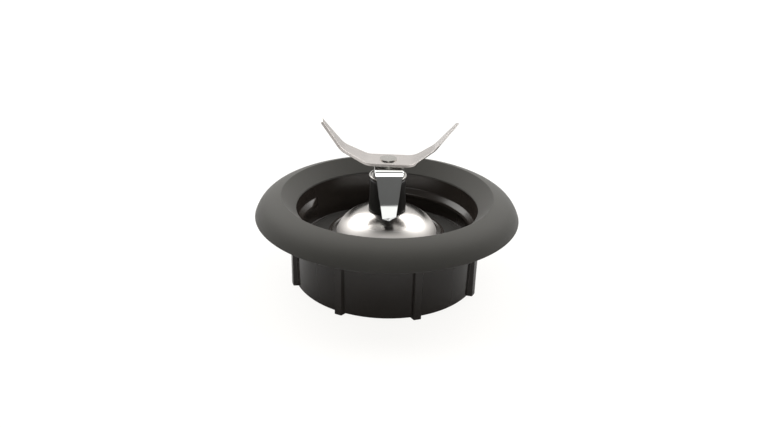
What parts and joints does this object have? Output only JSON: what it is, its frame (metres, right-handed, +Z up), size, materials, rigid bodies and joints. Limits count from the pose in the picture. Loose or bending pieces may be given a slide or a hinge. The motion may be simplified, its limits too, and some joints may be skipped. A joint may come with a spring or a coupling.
{
  "type": "blender blade assembly",
  "caption": "Blender blade unit: ribbed black collar with an inside jar thread, soft grey ring, steel dome, and a shaft with crossed bent blades driven from below.",
  "frame": {"origin": "centre of the skirt's bottom edge, on the shaft's axis", "axes": "+Z up along the shaft, towards the blades; -Y is the front; the upper blade lies along X"},
  "size_m": [0.1136, 0.1136, 0.0714],
  "materials": {
    "collar_black": "moulded, gloss inside, satin outside",
    "ring_grey": "matt soft-touch",
    "seal_rubber": "matt",
    "housing_black": "moulded satin",
    "polished_steel": "polished stainless",
    "blade_steel": "satin ground stainless",
    "fastener_steel": "plated",
    "bush_bronze": "sintered, oil filled",
    "insert_brass": "turned",
    "washer_nylon": "natural"
  },
  "bodies": {
    "base": {"collar": "collar_black", "soft_ring": "ring_grey", "jar_gasket": "seal_rubber", "dome": "polished_steel", "dome_seal": "seal_rubber", "bearing_housing": "housing_black", "upper_bush": "bush_bronze", "lower_bush": "bush_bronze", "shaft_seal": "seal_rubber", "seal_spring": "fastener_steel", "lock_washer": "fastener_steel", "lock_nut": "insert_brass"},
    "rotor": {"drive_shaft": "blade_steel", "cap_washer": "blade_steel", "hub_spacer": "blade_steel", "lower_blade": "polished_steel", "blade_spacer": "blade_steel", "upper_blade": "blade_steel", "thrust_washer": "washer_nylon", "retaining_ring": "fastener_steel", "drive_coupling": "housing_black", "coupling_insert": "insert_brass", "coupling_screw": "fastener_steel"}
  },
  "joints": [
    {"name": "blade_spin", "type": "hinge", "parent": "base", "child": "rotor", "pos_m": [0, 0, 0], "axis": [0, 0, 1], "continuous": true}
  ]
}
